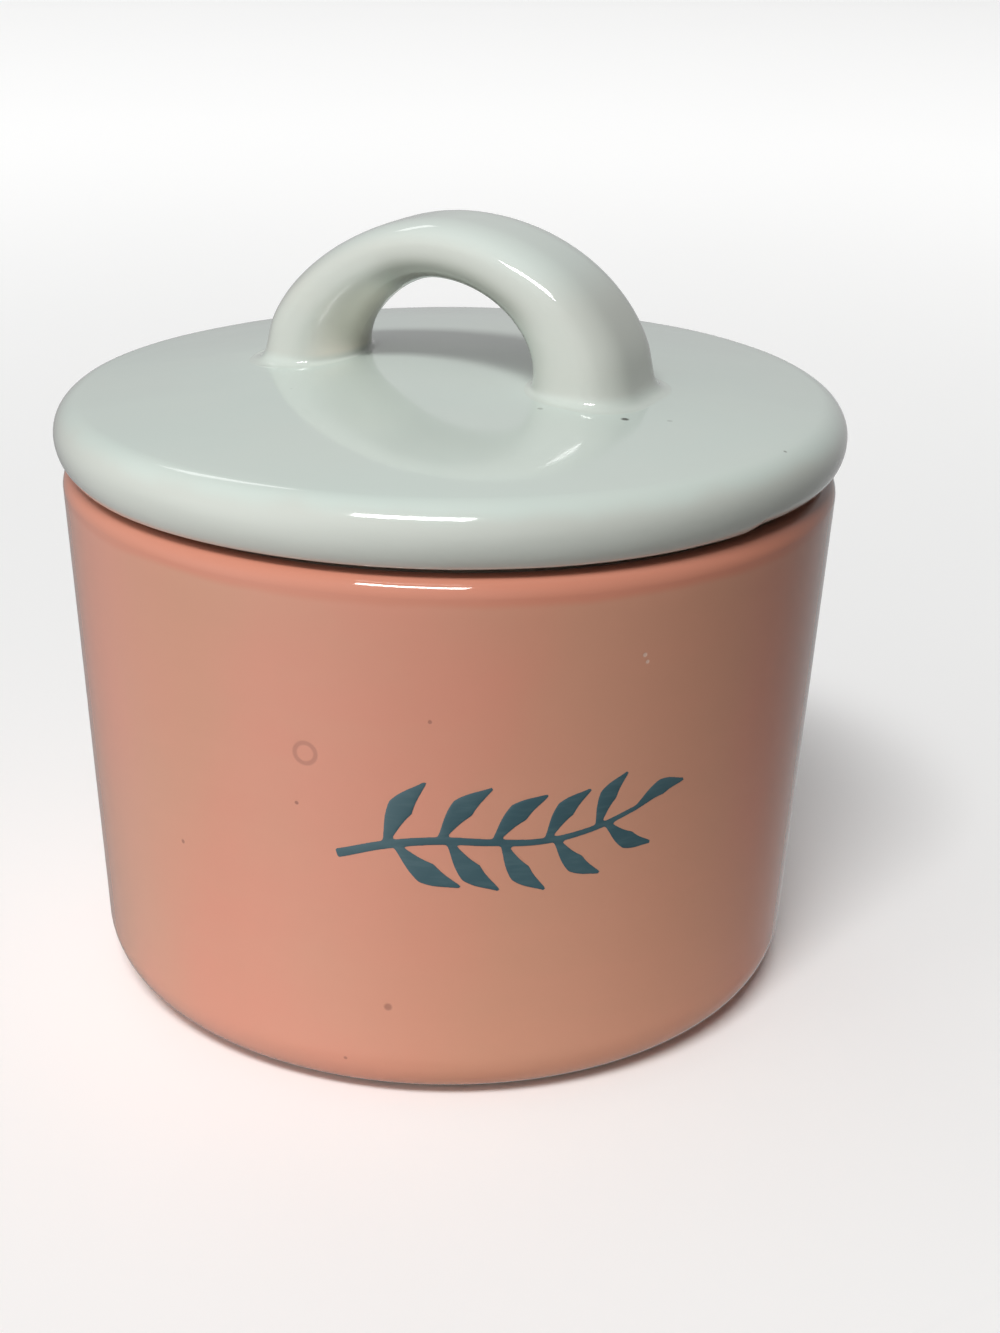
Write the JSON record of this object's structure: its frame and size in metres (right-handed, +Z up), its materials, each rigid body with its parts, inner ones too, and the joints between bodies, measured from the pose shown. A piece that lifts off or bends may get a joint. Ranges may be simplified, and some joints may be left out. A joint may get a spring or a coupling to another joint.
{
  "type": "lidded salt dish",
  "caption": "Round glazed stoneware salt pot with gently tapered sides, and a crowned overhanging lid with an arch handle that lifts off by hand.",
  "frame": {"origin": "centre of the pot's foot ring, on the table", "axes": "+Z up along the pot's axis and the lid's lift, +X along the handle's arch, +Y through the handle's finger gap"},
  "size_m": [0.11, 0.11, 0.1093],
  "materials": {
    "pink_glaze": "glossy salmon pink glaze",
    "pale_glaze": "glossy off-white glaze with a faint grey-green tint"
  },
  "bodies": {
    "pot": {"pot": "pink_glaze"},
    "lid": {"lid": "pale_glaze", "lid_handle": "pale_glaze"}
  },
  "joints": [
    {"name": "lid_lift", "type": "slide", "parent": "pot", "child": "lid", "axis": [0, 0, 1], "range_m": [0, 0.06]}
  ]
}
